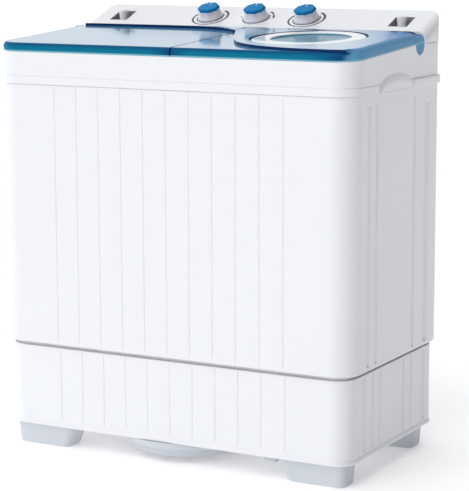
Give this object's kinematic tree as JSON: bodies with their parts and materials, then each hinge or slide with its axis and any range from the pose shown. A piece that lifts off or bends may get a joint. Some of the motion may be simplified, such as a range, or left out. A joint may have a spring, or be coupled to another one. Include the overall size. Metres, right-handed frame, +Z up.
{
  "type": "twin tub washer",
  "caption": "Free-standing twin tub washing machine: a wash tub with pulsator beside a spin basket, two hinged blue lids, a rear console with timer knobs and hose inlets.",
  "frame": {"origin": "on the floor under the middle of the washer", "axes": "+Z up, front faces -Y, wash tub towards -X, spin tub towards +X"},
  "size_m": [0.752, 0.415, 0.8377],
  "materials": {
    "white_shell": "gloss white moulding",
    "foot_plastic": "pale grey moulding",
    "blue_lid": "high gloss translucent blue",
    "lid_window": "translucent teal",
    "lid_ring": "gloss pearl white",
    "knob_cap": "gloss blue",
    "knob_body": "gloss pale lavender white",
    "tub_plastic": "satin white",
    "pulsator_plastic": "satin light blue",
    "grey_plastic": "dark grey",
    "rubber": "black rubber",
    "steel": "zinc plated",
    "cast_metal": "machined casting",
    "motor_paint": "dark enamel"
  },
  "bodies": {
    "housing": {"base": "white_shell", "cabinet": "white_shell", "deck": "white_shell", "console": "white_shell", "foot_front_left": "foot_plastic", "foot_front_right": "foot_plastic", "foot_rear_left": "foot_plastic", "foot_rear_right": "foot_plastic", "motor_guard": "foot_plastic", "rear_cover": "foot_plastic", "drain_valve": "foot_plastic", "drain_spigot": "foot_plastic", "capacitor": "foot_plastic", "wash_tub": "tub_plastic", "drain_grille": "tub_plastic", "spin_outer_tub": "tub_plastic", "water_inlet_left": "grey_plastic", "water_inlet_right": "grey_plastic", "wash_timer_unit": "grey_plastic", "selector_switch_unit": "grey_plastic", "spin_timer_unit": "grey_plastic", "drain_hose": "grey_plastic", "cord_gland": "rubber", "tub_seal": "rubber", "drive_belt": "rubber", "spin_seal": "rubber", "spin_mount_1": "rubber", "spin_mount_2": "rubber", "spin_mount_3": "rubber", "hinge_pin_left": "steel", "hinge_pin_centre": "steel", "hinge_pin_right": "steel", "motor_bracket": "steel", "spin_motor_plate": "steel", "gearbox": "cast_metal", "wash_motor": "motor_paint", "spin_motor": "motor_paint"},
    "wash_lid": {"wash_lid": "blue_lid"},
    "spin_lid": {"spin_lid": "blue_lid", "lid_window": "lid_window", "lid_ring": "lid_ring"},
    "wash_timer_knob": {"wash_timer_knob": "knob_body", "wash_timer_cap": "knob_cap"},
    "drain_selector_knob": {"drain_selector_knob": "knob_body", "drain_selector_cap": "knob_cap"},
    "spin_timer_knob": {"spin_timer_knob": "knob_body", "spin_timer_cap": "knob_cap"},
    "pulsator": {"pulsator": "pulsator_plastic", "wash_shaft": "steel", "driven_pulley": "cast_metal"},
    "wash_rotor": {"wash_motor_rotor": "cast_metal", "motor_pulley": "cast_metal", "cooling_fan": "foot_plastic"},
    "lint_filter": {"lint_filter": "pulsator_plastic"},
    "drain_plunger": {"drain_plunger": "rubber"},
    "spin_basket": {"spin_basket": "tub_plastic", "spin_shaft": "steel", "brake_drum": "cast_metal"},
    "press_plate": {"press_plate": "pulsator_plastic"},
    "brake_lever": {"brake_lever": "steel"}
  },
  "joints": [
    {"name": "wash_lid_hinge", "type": "hinge", "parent": "housing", "child": "wash_lid", "pos_m": [0, 0.081, 0.772], "axis": [-1, 0, 0], "range_deg": [0, 92]},
    {"name": "spin_lid_hinge", "type": "hinge", "parent": "housing", "child": "spin_lid", "pos_m": [0, 0.081, 0.772], "axis": [-1, 0, 0], "range_deg": [0, 92]},
    {"name": "wash_timer_turn", "type": "hinge", "parent": "housing", "child": "wash_timer_knob", "pos_m": [-0.104, 0.147, 0.80883], "axis": [0, 0.3643, -0.9313], "range_deg": [0, 330]},
    {"name": "drain_selector_turn", "type": "hinge", "parent": "housing", "child": "drain_selector_knob", "pos_m": [-0.002, 0.147, 0.80883], "axis": [0, 0.3643, -0.9313], "range_deg": [0, 90]},
    {"name": "spin_timer_turn", "type": "hinge", "parent": "housing", "child": "spin_timer_knob", "pos_m": [0.107, 0.147, 0.80883], "axis": [0, 0.3643, -0.9313], "range_deg": [0, 300]},
    {"name": "pulsator_turn", "type": "hinge", "parent": "housing", "child": "pulsator", "pos_m": [-0.18, -0.062, 0.3], "axis": [0, 0, 1], "continuous": true},
    {"name": "wash_rotor_turn", "type": "hinge", "parent": "housing", "child": "wash_rotor", "pos_m": [-0.028, -0.078, 0.1], "axis": [0, 0, 1], "continuous": true},
    {"name": "lint_filter_slide", "type": "slide", "parent": "housing", "child": "lint_filter", "axis": [0, 0, 1], "range_m": [0, 0.05]},
    {"name": "drain_plunger_slide", "type": "slide", "parent": "housing", "child": "drain_plunger", "axis": [0, 0, 1], "range_m": [0, 0.0125]},
    {"name": "spin_basket_turn", "type": "hinge", "parent": "housing", "child": "spin_basket", "pos_m": [0.195, -0.064, 0.5], "axis": [0, 0, 1], "continuous": true},
    {"name": "press_plate_slide", "type": "slide", "parent": "spin_basket", "child": "press_plate", "axis": [0, 0, 1], "range_m": [0, 0.3]},
    {"name": "brake_lever_swing", "type": "hinge", "parent": "housing", "child": "brake_lever", "pos_m": [0.255, -0.014, 0.202], "axis": [0, 0, -1], "range_deg": [0, 2.6]}
  ],
  "couplings": [
    {"joint": "wash_rotor_turn", "follows": "pulsator_turn", "ratio": 4.843},
    {"joint": "drain_plunger_slide", "follows": "drain_selector_turn", "m_per_rad": 0.00764},
    {"joint": "brake_lever_swing", "follows": "spin_lid_hinge", "ratio": 0.0272}
  ]
}
